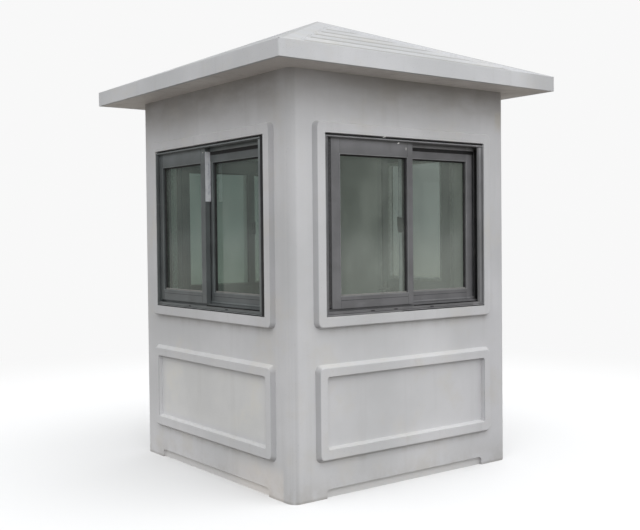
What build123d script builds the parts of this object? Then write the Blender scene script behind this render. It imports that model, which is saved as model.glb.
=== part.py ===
"""Security guard booth: a square moulded cabin with a hipped, stepped roof,
three sliding windows and one side-hung door.

Frame: millimetres, origin at the bottom centre of the booth, Z up.
-Y is the front wall, -X the left wall, +Y the back wall, +X the door wall.
"""
import math
import os

from build123d import *

os.makedirs("parts", exist_ok=True)

# ---------------------------------------------------------------- dimensions
W = 1500.0            # outer plan width and depth of the cabin
HALF = W / 2
WALL_T = 50.0         # wall thickness
IN = HALF - WALL_T    # inner face of the walls
WALL_H = 2080.0       # underside of the eaves
POST = 100.0          # corner post leg
POST_R = 45.0         # outer radius of the vertical corners
PW = HALF - POST      # half width of a wall panel between the posts

FLOOR_T = 60.0        # floor panel
CEIL_T = 20.0         # ceiling panel

EAVE = 945.0          # half width of the roof
FASCIA_H = 80.0       # height of the fascia
FASCIA_T = 20.0
Z_FASCIA = WALL_H + FASCIA_H
Z_APEX = 2530.0
APEX_HALF = 12.0      # small flat at the top
SLOPE = (Z_APEX - Z_FASCIA) / EAVE
SHELL_T = 34.0        # vertical thickness of the roof skin beside the hips
STEP = 150.0          # plan distance between the risers of the terraced slopes
RISER = 18.0          # how far the foot of a riser lies below the hip bands
STEPS = 5
HIP_BAND = 110.0      # smooth band beside each hip, measured along the eave

# window opening and frame (same on front, left and back)
WIN_X = 553.0
WIN_Z0, WIN_Z1 = 891.0, 1771.0
FR_OUT = 18.0         # how far the window frame stands out of the wall
# raised surround moulding
M_OUT = 22.0
SUR_IN = (554.0, 889.0, 1782.0)
SUR_FR = (603.0, 837.0, 1834.0)
SUR_FT = (618.0, 834.0, 1839.0)
# lower picture-frame moulding
PAN_IN = (552.0, 243.0, 597.0)    # inner edge at the front of the moulding
PAN_IF = (547.0, 252.0, 592.0)    # inner edge at the wall
PAN_FR = (597.0, 194.0, 641.0)
PAN_FT = (612.0, 180.0, 657.0)
# recess at the foot of each wall
REC_X, REC_H, REC_D = 546.0, 44.0, 16.0

# door, hinged near the front corner of the +X wall
DO_Y0, DO_Y1 = -400.0, 287.0      # doorway between the wall panels
DO_Z1 = 2000.0
DF_W = 22.0                       # door frame width
LEAF_Y0, LEAF_Y1 = -372.0, 259.0
LEAF_Z0, LEAF_Z1 = 80.0, 1971.0
LEAF_X0, LEAF_X1 = 712.0, 740.0
SILL_Z = 72.0
DG_Y0, DG_Y1, DG_Z0, DG_Z1 = -271.0, 186.0, 1014.0, 1734.0
HINGE_X, HINGE_Y, HINGE_R = 762.0, -375.0, 8.0
HINGE_Z = [330.0, 1700.0]
HINGE_L = 100.0


def box(x0, x1, y0, y1, z0, z1):
    return Pos((x0 + x1) / 2, (y0 + y1) / 2, (z0 + z1) / 2) * Box(x1 - x0, y1 - y0, z1 - z0)


def one(shape):
    s = shape.solids()
    if len(s) != 1:
        raise ValueError("expected one solid, got %d" % len(s))
    return s[0]


def save(name, shape):
    s = one(shape)
    if not s.is_valid:
        raise ValueError(name + " is not valid")
    export_step(s, "parts/%s.step" % name)
    print("%-28s %9.4f litres" % (name, s.volume / 1e6))
    return s


# ------------------------------------------------------------------- posts
def post(sx, sy):
    sk = box(PW, HALF, PW, HALF, 0, WALL_H)
    edge = sk.edges().filter_by(Axis.Z).sort_by(lambda e: e.center().X + e.center().Y)[-1]
    sk = fillet(edge, POST_R)
    sk = sk - box(PW - 1, IN, PW - 1, IN, -1, WALL_H + 1)
    if sx < 0:
        sk = mirror(sk, about=Plane.YZ)
    if sy < 0:
        sk = mirror(sk, about=Plane.XZ)
    return sk


save("corner_post_front_left", post(-1, -1))
save("corner_post_front_right", post(1, -1))
save("corner_post_back_left", post(-1, 1))
save("corner_post_back_right", post(1, 1))


# ------------------------------------------------------------ wall panels
def rounded(xh, z0, z1, r, y):
    return Plane.XZ.offset(-y) * Pos(0, (z0 + z1) / 2) * RectangleRounded(2 * xh, z1 - z0, r)


def moulding(inn, inn_foot, front, foot, r_in, r_front, r_foot, f_out, f_in):
    """A raised band around a rectangle, standing out of the front wall."""
    a = rounded(*foot, r_foot, -HALF)
    b = rounded(*front, r_front, -HALF - M_OUT)
    m = loft([a, b], ruled=True)
    k = 1.0 / M_OUT               # the hole is lofted 1 mm past both faces
    far = [i + (i - j) * k for i, j in zip(inn, inn_foot)]
    near = [j - (i - j) * k for i, j in zip(inn, inn_foot)]
    m = m - loft([rounded(*near, r_in, -HALF + 1), rounded(*far, r_in, -HALF - M_OUT - 1)],
                 ruled=True)
    mid = [(i + j) / 2 for i, j in zip(inn, front)]
    at_front = [e for e in m.edges() if abs(e.center().Y + HALF + M_OUT) < 0.01]
    is_out = lambda e: (abs(e.center().X) > mid[0] or e.center().Z < mid[1]
                        or e.center().Z > mid[2])
    m = fillet([e for e in at_front if is_out(e)], f_out)
    at_front = [e for e in m.edges() if abs(e.center().Y + HALF + M_OUT) < 0.01 and not is_out(e)]
    return fillet(at_front, f_in)


def window_wall():
    w = box(-PW, PW, -HALF, -IN, 0, WALL_H)
    w = w - box(-WIN_X, WIN_X, -HALF - 1, -IN + 1, WIN_Z0, WIN_Z1)
    w = w + moulding(SUR_IN, SUR_IN, SUR_FR, SUR_FT, 3, 30, 34, 7, 2)
    w = w + moulding(PAN_IN, PAN_IF, PAN_FR, PAN_FT, 12, 24, 34, 6, 4)
    rec = extrude(rounded(REC_X, -REC_H, REC_H, 20, -HALF + REC_D), REC_D + 1)
    return one(w - rec)


TURN = {"front": 0, "left": -90, "back": 180}
wall = window_wall()
for side, ang in TURN.items():
    save("%s_wall" % side, Rot(0, 0, ang) * wall)

save("right_wall_front", box(IN, HALF, -PW, DO_Y0, 0, WALL_H))
save("right_wall_rear", box(IN, HALF, DO_Y1, PW, 0, WALL_H))
save("right_wall_head", box(IN, HALF, DO_Y0, DO_Y1, DO_Z1, WALL_H))

# ---------------------------------------------------------- floor, ceiling
save("floor_panel", box(-IN, IN, -IN, IN, 0, FLOOR_T))
save("ceiling_panel", box(-IN, IN, -IN, IN, WALL_H - CEIL_T, WALL_H))

# -------------------------------------------------------------------- roof
def pyramid(half, z0, top_half, z1):
    a = Plane.XY.offset(z0) * Rectangle(2 * half, 2 * half)
    b = Plane.XY.offset(z1) * Rectangle(2 * top_half, 2 * top_half)
    return loft([a, b], ruled=True)


def roof_z(s):
    return Z_FASCIA + SLOPE * s


def terraces():
    """What is cut from the front slope to leave its steps between the hip bands."""
    pts = [(-EAVE - 5, Z_FASCIA - 1)]
    for k in range(STEPS + 2):
        s1 = STEP * (k + 1)
        pts.append((-EAVE + s1, roof_z(s1) - RISER))
        if k <= STEPS:
            pts.append((-EAVE + s1, roof_z(s1) - 1))
    pts.append((pts[-1][0], roof_z(EAVE) + 60))
    pts.append((-EAVE - 5, roof_z(0) + 60))
    body = extrude(Plane.YZ * make_face(Polyline(*pts, close=True)), EAVE, both=True)
    b = HIP_BAND
    tri = make_face(Polyline((-EAVE + b - 5, -EAVE - 5), (EAVE - b + 5, -EAVE - 5), (0, -b),
                             close=True))
    return body & extrude(Plane.XY.offset(Z_FASCIA - 50) * tri, 600)


z_top = Z_APEX - SLOPE * APEX_HALF
outer = box(-EAVE, EAVE, -EAVE, EAVE, WALL_H, Z_FASCIA)
outer = fillet(outer.edges().filter_by(Axis.Z), 8)
shell = outer + pyramid(EAVE, Z_FASCIA, APEX_HALF, z_top)
cut = terraces()
for a in (0, 90, 180, 270):
    shell = shell - Rot(0, 0, a) * cut
inh = EAVE - FASCIA_T
zi0 = roof_z(FASCIA_T) - SHELL_T
shell = shell - box(-inh, inh, -inh, inh, WALL_H - 1, zi0)
shell = shell - pyramid(inh, zi0, 20, zi0 + SLOPE * (inh - 20))
save("roof_shell", shell)
save("roof_soffit", box(-inh, inh, -inh, inh, WALL_H, WALL_H + 15))

# ----------------------------------------------------------------- windows
Y0 = -HALF - FR_OUT       # front of the window frame


def ring(xh, z0, z1, xi, zi0, zi1, d0, d1):
    return (box(-xh, xh, Y0 + d0, Y0 + d1, z0, z1)
            - box(-xi, xi, Y0 + d0 - 1, Y0 + d1 + 1, zi0, zi1))


def window_frame():
    """Two-channel frame: front lip, outer channel, middle lip, inner channel, back lip."""
    o = (WIN_X, WIN_Z0, WIN_Z1)
    f = ring(*o, 537, 912, 1761, 0, 12)
    f = f + ring(*o, 545, 899, 1766, 12, 45)
    f = f + ring(*o, 525, 932, 1742, 45, 48)
    f = f + ring(*o, 545, 930, 1756, 48, 80)
    f = f + ring(*o, 526, 935, 1740, 80, 84)
    f = f + box(-545, 545, Y0 + 26.5, Y0 + 29.5, 897, 925)
    f = f + box(-545, 545, Y0 + 62.5, Y0 + 65.5, 928, 937)
    return one(f)


def sash(x0, x1, z0, z1, gx0, gx1, gz0, gz1, d0, d1):
    s = box(x0, x1, Y0 + d0, Y0 + d1, z0, z1)
    s = s - box(gx0, gx1, Y0 + d0 - 1, Y0 + d1 + 1, gz0, gz1)
    return one(s)


# sash edges and glass edges across the window, as seen from outside
SASHES = {
    "front": ((-506.0, 35.0, -450.0, -2.0), (-10.0, 518.0, 37.0, 471.0)),
    "left": ((-541.0, -24.0, -500.0, -68.0), (-52.0, 500.0, -5.0, 455.0)),
    "back": ((-506.0, 35.0, -450.0, -2.0), (-10.0, 518.0, 37.0, 471.0)),
}
OS_Z, IS_Z = (925.0, 1764.0), (937.0, 1750.0)
GZ = (984.0, 1684.0)
OS_D, IS_D = (14.0, 42.0), (50.0, 78.0)
LATCH_Z = (1300.0, 1372.0)


def latch(x):
    """Sash lock round the edge of the inner meeting stile, with its turn on the room side."""
    z0, z1 = LATCH_Z
    s = box(x - 3, x + 6, Y0 + IS_D[0] - 5, Y0 + IS_D[0], z0, z1)
    s = s + box(x - 3, x, Y0 + IS_D[0] - 5, Y0 + IS_D[1] + 4, z0, z1)
    s = s + box(x - 3, x + 26, Y0 + IS_D[1], Y0 + IS_D[1] + 4, z0, z1)
    s = s + Pos(x + 13, Y0 + IS_D[1] + 8, (z0 + z1) / 2) * Rot(90, 0, 0) * Cylinder(11, 10)
    s = s + box(x + 6, x + 20, Y0 + IS_D[1] + 10, Y0 + IS_D[1] + 17, (z0 + z1) / 2 - 6, z1 + 8)
    return one(s)


for side, ang in TURN.items():
    o, i = SASHES[side]
    parts = {
        "frame": window_frame(),
        "outer_sash": sash(o[0], o[1], *OS_Z, o[2], o[3], *GZ, *OS_D),
        "inner_sash": sash(i[0], i[1], *IS_Z, i[2], i[3], *GZ, *IS_D),
        "outer_pane": box(o[2], o[3], Y0 + 32, Y0 + 37, *GZ),
        "inner_pane": box(i[2], i[3], Y0 + 68, Y0 + 73, *GZ),
        "latch": latch(i[0]),
    }
    for nm, sh in parts.items():
        save("%s_window_%s" % (side, nm), Rot(0, 0, ang) * sh)

# -------------------------------------------------------------------- door
frame = (box(IN, HALF, DO_Y0, DO_Y1, SILL_Z, DO_Z1)
         - box(IN - 1, HALF + 1, DO_Y0 + DF_W, DO_Y1 - DF_W, SILL_Z - 1, DO_Z1 - DF_W))
save("door_frame", frame)
save("door_threshold", box(IN, HALF, DO_Y0, DO_Y1, 0, SILL_Z))

leaf = box(LEAF_X0, LEAF_X1, LEAF_Y0, LEAF_Y1, LEAF_Z0, LEAF_Z1)
leaf = leaf - box(LEAF_X0 - 1, LEAF_X1 + 1, DG_Y0, DG_Y1, DG_Z0, DG_Z1)
save("door_leaf", leaf)
save("door_pane", box(731, 736, DG_Y0, DG_Y1, DG_Z0, DG_Z1))

HY, HZ = 224.0, 940.0


def lever(sign, face):
    x = lambda v: face + sign * v
    lo, hi = sorted((x(0), x(7)))
    plate = box(lo, hi, HY - 19, HY + 19, HZ - 95, HZ + 45)
    lo, hi = sorted((x(7), x(52)))
    stub = Pos((lo + hi) / 2, HY, HZ) * Rot(0, 90, 0) * Cylinder(9, hi - lo)
    lo, hi = sorted((x(36), x(52)))
    arm = box(lo, hi, HY - 118, HY + 8, HZ - 9, HZ + 9)
    arm = fillet(arm.edges().filter_by(Axis.Y), 5)
    return one(plate + stub + arm)


save("door_handle_outer", lever(1, LEAF_X1))
save("door_handle_inner", lever(-1, LEAF_X0))


def hinge(zc):
    h = HINGE_L / 2
    k = lambda z0, z1, r=HINGE_R: Pos(HINGE_X, HINGE_Y, (z0 + z1) / 2) * Cylinder(r, z1 - z0)
    third = HINGE_L / 3
    fixed = k(zc - h, zc - third / 2 - 0.5) + k(zc + third / 2 + 0.5, zc + h)
    fixed = fixed + box(HALF, HINGE_X - 4, DO_Y0 + 2, HINGE_Y - 2.5, zc - h, zc - third / 2 - 0.5)
    fixed = fixed + box(HALF, HINGE_X - 4, DO_Y0 + 2, HINGE_Y - 2.5, zc + third / 2 + 0.5, zc + h)
    fixed = fixed + box(HALF, HALF + 3.5, DO_Y0 + 2, HINGE_Y - 12, zc - h, zc + h)
    fixed = fixed + k(zc - h, zc + h, 3.0)
    mov = k(zc - third / 2 + 0.5, zc + third / 2 - 0.5)
    mov = mov + box(LEAF_X1, HINGE_X - 4, HINGE_Y + 2.5, LEAF_Y0 + 12, zc - third / 2 + 0.5, zc + third / 2 - 0.5)
    mov = mov + box(LEAF_X1, LEAF_X1 + 3.5, LEAF_Y0 + 12, LEAF_Y0 + 44, zc - h, zc + h)
    mov = mov - k(zc - h, zc + h, 3.05)
    return one(fixed), one(mov)


for nm, zc in zip(("lower", "upper"), HINGE_Z):
    a, b = hinge(zc)
    save("door_hinge_%s_fixed" % nm, a)
    save("door_hinge_%s_moving" % nm, b)
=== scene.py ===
import math
import random

import bmesh
import bpy
from mathutils import Matrix, Vector

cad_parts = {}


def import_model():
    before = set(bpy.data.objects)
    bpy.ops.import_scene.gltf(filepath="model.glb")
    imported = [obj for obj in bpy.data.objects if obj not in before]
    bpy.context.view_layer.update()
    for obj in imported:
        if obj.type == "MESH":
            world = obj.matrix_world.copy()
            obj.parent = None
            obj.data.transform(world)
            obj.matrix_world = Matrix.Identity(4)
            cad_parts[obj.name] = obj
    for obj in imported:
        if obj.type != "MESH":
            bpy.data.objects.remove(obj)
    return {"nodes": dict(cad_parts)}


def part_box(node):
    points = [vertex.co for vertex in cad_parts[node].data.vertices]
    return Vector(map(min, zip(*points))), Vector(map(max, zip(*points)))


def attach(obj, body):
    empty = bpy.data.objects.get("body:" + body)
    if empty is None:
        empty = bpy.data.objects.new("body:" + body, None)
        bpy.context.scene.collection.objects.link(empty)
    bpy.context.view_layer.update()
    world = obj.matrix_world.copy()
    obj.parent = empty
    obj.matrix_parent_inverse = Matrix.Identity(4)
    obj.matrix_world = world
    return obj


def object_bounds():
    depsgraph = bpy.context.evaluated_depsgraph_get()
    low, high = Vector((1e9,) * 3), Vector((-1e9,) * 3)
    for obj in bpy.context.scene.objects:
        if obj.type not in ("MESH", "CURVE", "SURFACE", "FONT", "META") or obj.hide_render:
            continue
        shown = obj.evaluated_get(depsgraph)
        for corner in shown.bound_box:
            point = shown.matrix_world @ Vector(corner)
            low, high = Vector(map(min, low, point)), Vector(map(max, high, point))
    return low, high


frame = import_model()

scene = bpy.context.scene
NODES = frame["nodes"]
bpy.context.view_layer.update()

# ------------------------------------------------------------------ camera
CAM = Vector((-3.32666, -4.31326, 1.28024))
YAW, PITCH, ROLL = 0.6345, -0.0244, -0.0107
fwd = Vector((math.sin(YAW) * math.cos(PITCH), math.cos(YAW) * math.cos(PITCH), math.sin(PITCH)))
right = Vector((math.cos(YAW), -math.sin(YAW), 0.0))
up = right.cross(fwd)
r2 = math.cos(ROLL) * right + math.sin(ROLL) * up
u2 = -math.sin(ROLL) * right + math.cos(ROLL) * up
cam_data = bpy.data.cameras.new("camera")
cam = bpy.data.objects.new("camera", cam_data)
scene.collection.objects.link(cam)
cam.matrix_world = Matrix((
    (r2.x, u2.x, -fwd.x, CAM.x),
    (r2.y, u2.y, -fwd.y, CAM.y),
    (r2.z, u2.z, -fwd.z, CAM.z),
    (0, 0, 0, 1)))
cam_data.sensor_fit = "HORIZONTAL"
cam_data.sensor_width = 36.0
cam_data.lens = 52.405
cam_data.shift_x = 0.0332
cam_data.shift_y = -0.00864
cam_data.clip_end = 200
scene.camera = cam
scene.view_settings.view_transform = "Standard"
scene.view_settings.look = "None"
scene.view_settings.exposure = 0.0
scene.view_settings.gamma = 1.0


# ------------------------------------------------------------ node building
class Mat:
    """Short calls for building one node tree."""

    def __init__(self, name, world=False):
        if world:
            self.id = bpy.data.worlds.new(name)
        else:
            self.id = bpy.data.materials.new(name)
        self.id.use_nodes = True
        self.t = self.id.node_tree
        self.t.nodes.clear()
        self._pos = None

    def n(self, kind, **props):
        node = self.t.nodes.new(kind)
        for k, v in props.items():
            setattr(node, k, v)
        return node

    def put(self, sock, v):
        if isinstance(v, bpy.types.NodeSocket):
            self.t.links.new(v, sock)
        elif v is not None:
            if hasattr(sock.default_value, "__len__") and len(sock.default_value) == 4 and len(v) == 3:
                v = (*v, 1.0)
            sock.default_value = v

    def pos(self):
        if self._pos is None:
            self._pos = self.n("ShaderNodeTexCoord").outputs["Object"]
        return self._pos

    def normal(self):
        return self.n("ShaderNodeNewGeometry").outputs["Normal"]

    def split(self, v):
        s = self.n("ShaderNodeSeparateXYZ")
        self.put(s.inputs[0], v)
        return s.outputs[0], s.outputs[1], s.outputs[2]

    def scaled(self, v, s, shift=(0, 0, 0)):
        m = self.n("ShaderNodeMapping")
        self.put(m.inputs["Vector"], v)
        m.inputs["Scale"].default_value = s
        m.inputs["Location"].default_value = shift
        return m.outputs[0]

    def noise(self, scale, detail=2.0, rough=0.5, vec=None, lac=2.0, dist=0.0):
        x = self.n("ShaderNodeTexNoise")
        self.put(x.inputs["Vector"], vec if vec is not None else self.pos())
        x.inputs["Scale"].default_value = scale
        x.inputs["Detail"].default_value = detail
        x.inputs["Roughness"].default_value = rough
        x.inputs["Lacunarity"].default_value = lac
        x.inputs["Distortion"].default_value = dist
        return x.outputs[0]

    def voronoi(self, scale, vec=None, feature="F1", rnd=1.0):
        x = self.n("ShaderNodeTexVoronoi", feature=feature)
        self.put(x.inputs["Vector"], vec if vec is not None else self.pos())
        x.inputs["Scale"].default_value = scale
        x.inputs["Randomness"].default_value = rnd
        return x.outputs["Distance"]

    def math(self, op, a, b=None, c=None, clamp=False):
        m = self.n("ShaderNodeMath", operation=op, use_clamp=clamp)
        self.put(m.inputs[0], a)
        if b is not None:
            self.put(m.inputs[1], b)
        if c is not None:
            self.put(m.inputs[2], c)
        return m.outputs[0]

    def mul(self, *a):
        r = a[0]
        for x in a[1:]:
            r = self.math("MULTIPLY", r, x)
        return r

    def add(self, a, b):
        return self.math("ADD", a, b)

    def sub(self, a, b):
        return self.math("SUBTRACT", a, b)

    def rng(self, v, a, b, c=0.0, d=1.0, smooth=True):
        m = self.n("ShaderNodeMapRange", clamp=True)
        m.interpolation_type = "SMOOTHSTEP" if smooth else "LINEAR"
        self.put(m.inputs["Value"], v)
        m.inputs["From Min"].default_value = a
        m.inputs["From Max"].default_value = b
        m.inputs["To Min"].default_value = c
        m.inputs["To Max"].default_value = d
        return m.outputs[0]

    def band(self, v, a, b, c, d):
        """1 between b and c, falling to 0 at a and d."""
        return self.mul(self.rng(v, a, b), self.rng(v, c, d, 1.0, 0.0))

    def mix(self, fac, a, b, mode="MIX"):
        m = self.n("ShaderNodeMix", data_type="RGBA", blend_type=mode)
        m.clamp_factor = True
        self.put(m.inputs[0], fac)
        self.put(m.inputs[6], a)
        self.put(m.inputs[7], b)
        return m.outputs[2]

    def bump(self, height, strength=1.0, distance=0.001, normal=None):
        b = self.n("ShaderNodeBump")
        b.inputs["Strength"].default_value = strength
        b.inputs["Distance"].default_value = distance
        self.put(b.inputs["Height"], height)
        if normal is not None:
            self.put(b.inputs["Normal"], normal)
        return b.outputs[0]

    def principled(self, colour, rough, normal=None, metallic=0.0, spec=0.5, **more):
        p = self.n("ShaderNodeBsdfPrincipled")
        self.put(p.inputs["Base Color"], colour)
        self.put(p.inputs["Roughness"], rough)
        self.put(p.inputs["Metallic"], metallic)
        self.put(p.inputs["Specular IOR Level"], spec)
        if normal is not None:
            self.put(p.inputs["Normal"], normal)
        for k, v in more.items():
            self.put(p.inputs[k.replace("_", " ")], v)
        return p.outputs[0]

    def done(self, shader):
        out = self.n("ShaderNodeOutputWorld" if isinstance(self.id, bpy.types.World)
                     else "ShaderNodeOutputMaterial")
        self.t.links.new(shader, out.inputs["Surface"])
        return self.id


# ---------------------------------------------------- places on the four walls
BACK_TO_FRONT = {"front": 0.0, "left": 90.0, "back": 180.0, "right": -90.0}


def world(side, u, y, z):
    """A point given as on the front wall (u across, y into the wall) on another side."""
    if side == "front":
        return Vector((u, y, z))
    if side == "left":
        return Vector((y, -u, z))
    if side == "back":
        return Vector((-u, -y, z))
    return Vector((-y, u, z))


def local_box(side, node):
    """u0, u1, y0, y1, z0, z1 of a CAD node, as seen on the front wall."""
    lo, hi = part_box(node)
    pts = []
    for X in (lo.x, hi.x):
        for Y in (lo.y, hi.y):
            if side == "front":
                pts.append((X, Y))
            elif side == "left":
                pts.append((-Y, X))
            elif side == "back":
                pts.append((-X, -Y))
            else:
                pts.append((Y, -X))
    us = [p[0] for p in pts]
    ys = [p[1] for p in pts]
    return min(us), max(us), min(ys), max(ys), lo.z, hi.z


def rim_of(node, y, rect):
    """The first rectangle of the front wall's vertices at depth y that lies outside rect."""
    us, zs = set(), set()
    for v in NODES[node].data.vertices:
        if abs(v.co.y - y) < 0.0003 and abs(v.co.x) < 0.62 and v.co.z > rect[2] - 0.06:
            us.add(round(abs(v.co.x), 5))
            zs.add(round(v.co.z, 5))
    u = min(k for k in us if k > rect[1] + 0.0004)
    return (-u, u, max(k for k in zs if k < rect[2] - 0.0004), min(k for k in zs if k > rect[3] + 0.002))


# ------------------------------------------------------------- mesh building
class Builder:
    """Collects several shapes into one piece."""

    def __init__(self, name, mat, slot, body="booth"):
        self.name, self.mat, self.slot_name, self.body = name, mat, slot, body
        self.bm = bmesh.new()

    def _merge(self, part):
        me = bpy.data.meshes.new("tmp")
        part.to_mesh(me)
        part.free()
        self.bm.from_mesh(me)
        bpy.data.meshes.remove(me)

    def block(self, side, u0, u1, y0, y1, z0, z1, bevel=0.0006, seg=2):
        part = bmesh.new()
        vs = [part.verts.new(world(side, u, y, z)) for z in (z0, z1) for y in (y0, y1) for u in (u0, u1)]
        for f in ((0, 1, 3, 2), (4, 6, 7, 5), (0, 4, 5, 1), (2, 3, 7, 6), (0, 2, 6, 4), (1, 5, 7, 3)):
            part.faces.new([vs[i] for i in f])
        bmesh.ops.recalc_face_normals(part, faces=part.faces)
        b = min(bevel, 0.45 * min(abs(u1 - u0), abs(y1 - y0), abs(z1 - z0)))
        if b > 0:
            bmesh.ops.bevel(part, geom=list(part.edges), offset=b, segments=seg, profile=0.5,
                            affect="EDGES", clamp_overlap=True)
        self._merge(part)

    def ring(self, side, rect, profile, r=0.0, seg=5):
        """A closed mitred frame: profile is (inset, y) points, inset inwards from rect."""
        u0, u1, z0, z1 = rect
        part = bmesh.new()
        loops = []
        for ins, y in profile:
            a0, a1, c0, c1 = u0 + ins, u1 - ins, z0 + ins, z1 - ins
            rr = max(r - ins, 0.0)
            pts = []
            if r > 0:
                rr = max(rr, 0.0008)
                for cu, cz, st in ((a1 - rr, c1 - rr, 0), (a0 + rr, c1 - rr, 90),
                                   (a0 + rr, c0 + rr, 180), (a1 - rr, c0 + rr, 270)):
                    for k in range(seg + 1):
                        t = math.radians(st + 90.0 * k / seg)
                        pts.append((cu + rr * math.cos(t), cz + rr * math.sin(t)))
            else:
                pts = [(a1, c1), (a0, c1), (a0, c0), (a1, c0)]
            loops.append([part.verts.new(world(side, p[0], y, p[1])) for p in pts])
        m = len(loops)
        for i in range(m):
            A, B = loops[i], loops[(i + 1) % m]
            k = len(A)
            for j in range(k):
                part.faces.new((A[j], A[(j + 1) % k], B[(j + 1) % k], B[j]))
        bmesh.ops.recalc_face_normals(part, faces=part.faces)
        self._merge(part)

    def slab(self, side, outline, y0, y1, edge=0.0006):
        """A plate with a rounded front edge from an outline of (u, z) points."""
        part = bmesh.new()
        k = len(outline)
        cu = sum(p[0] for p in outline) / k
        cz = sum(p[1] for p in outline) / k

        def loop(y, ins):
            out = []
            for i, (u, z) in enumerate(outline):
                d = math.hypot(u - cu, z - cz) or 1.0
                out.append(part.verts.new(world(side, u - (u - cu) / d * ins, y, z - (z - cz) / d * ins)))
            return out
        s = 1.0 if y1 > y0 else -1.0
        loops = [loop(y0, edge), loop(y0 + s * edge, 0), loop(y1 - s * edge, 0), loop(y1, edge)]
        for A, B in zip(loops[:-1], loops[1:]):
            for j in range(k):
                part.faces.new((A[j], A[(j + 1) % k], B[(j + 1) % k], B[j]))
        part.faces.new(loops[0])
        part.faces.new(list(reversed(loops[-1])))
        bmesh.ops.recalc_face_normals(part, faces=part.faces)
        self._merge(part)

    def disc(self, side, u, z, r, y0, y1, n=20, dome=0.0):
        pts = [(u + r * math.cos(2 * math.pi * i / n), z + r * math.sin(2 * math.pi * i / n)) for i in range(n)]
        self.slab(side, pts, y0, y1, edge=min(0.0008, r * 0.3))

    def make(self, smooth_angle=35.0):
        me = bpy.data.meshes.new(self.name)
        bmesh.ops.remove_doubles(self.bm, verts=self.bm.verts, dist=1e-7)
        self.bm.to_mesh(me)
        self.bm.free()
        ob = bpy.data.objects.new(self.name, me)
        scene.collection.objects.link(ob)
        me.materials.append(self.mat)
        for p in me.polygons:
            p.use_smooth = True
        me.set_sharp_from_angle(angle=math.radians(smooth_angle))
        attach(ob, self.body)
        return ob


def pill(u, z, hw, hh, n=8):
    """Outline of a slot with round ends, longer across."""
    pts = []
    for cx, st in ((u + hw - hh, -90), (u - hw + hh, 90)):
        for k in range(n + 1):
            t = math.radians(st + 180.0 * k / n)
            pts.append((cx + hh * math.cos(t), z + hh * math.sin(t)))
    return pts


# --------------------------------------------------------------- measurements
lo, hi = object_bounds()
WALL_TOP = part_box("front_wall")[1].z
WALL_F = -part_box("corner_post_front_left")[0].y          # outer face of the walls
WALL_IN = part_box("right_wall_front")[0].x                # inner face
MOULD_F = -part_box("front_wall")[0].y                     # front of the mouldings
PANEL_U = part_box("front_wall")[1].x
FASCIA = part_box("roof_shell")
FRAME = {s: local_box(s, s + "_window_frame") for s in ("front", "left", "back")}
SHELL = NODES["roof_shell"].data.vertices
EAVE_HALF = FASCIA[1].x
EAVE_Z = max(v.co.z for v in SHELL if max(abs(v.co.x), abs(v.co.y)) > EAVE_HALF - 0.001)
ROOF_SLOPE = (FASCIA[1].z - EAVE_Z) / (EAVE_HALF - min(max(abs(v.co.x), abs(v.co.y)) for v in SHELL if v.co.z > FASCIA[1].z - 0.001))
SUR = rim_of("front_wall", -WALL_F, (FRAME["front"][0], FRAME["front"][1], FRAME["front"][4], FRAME["front"][5]))


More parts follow.
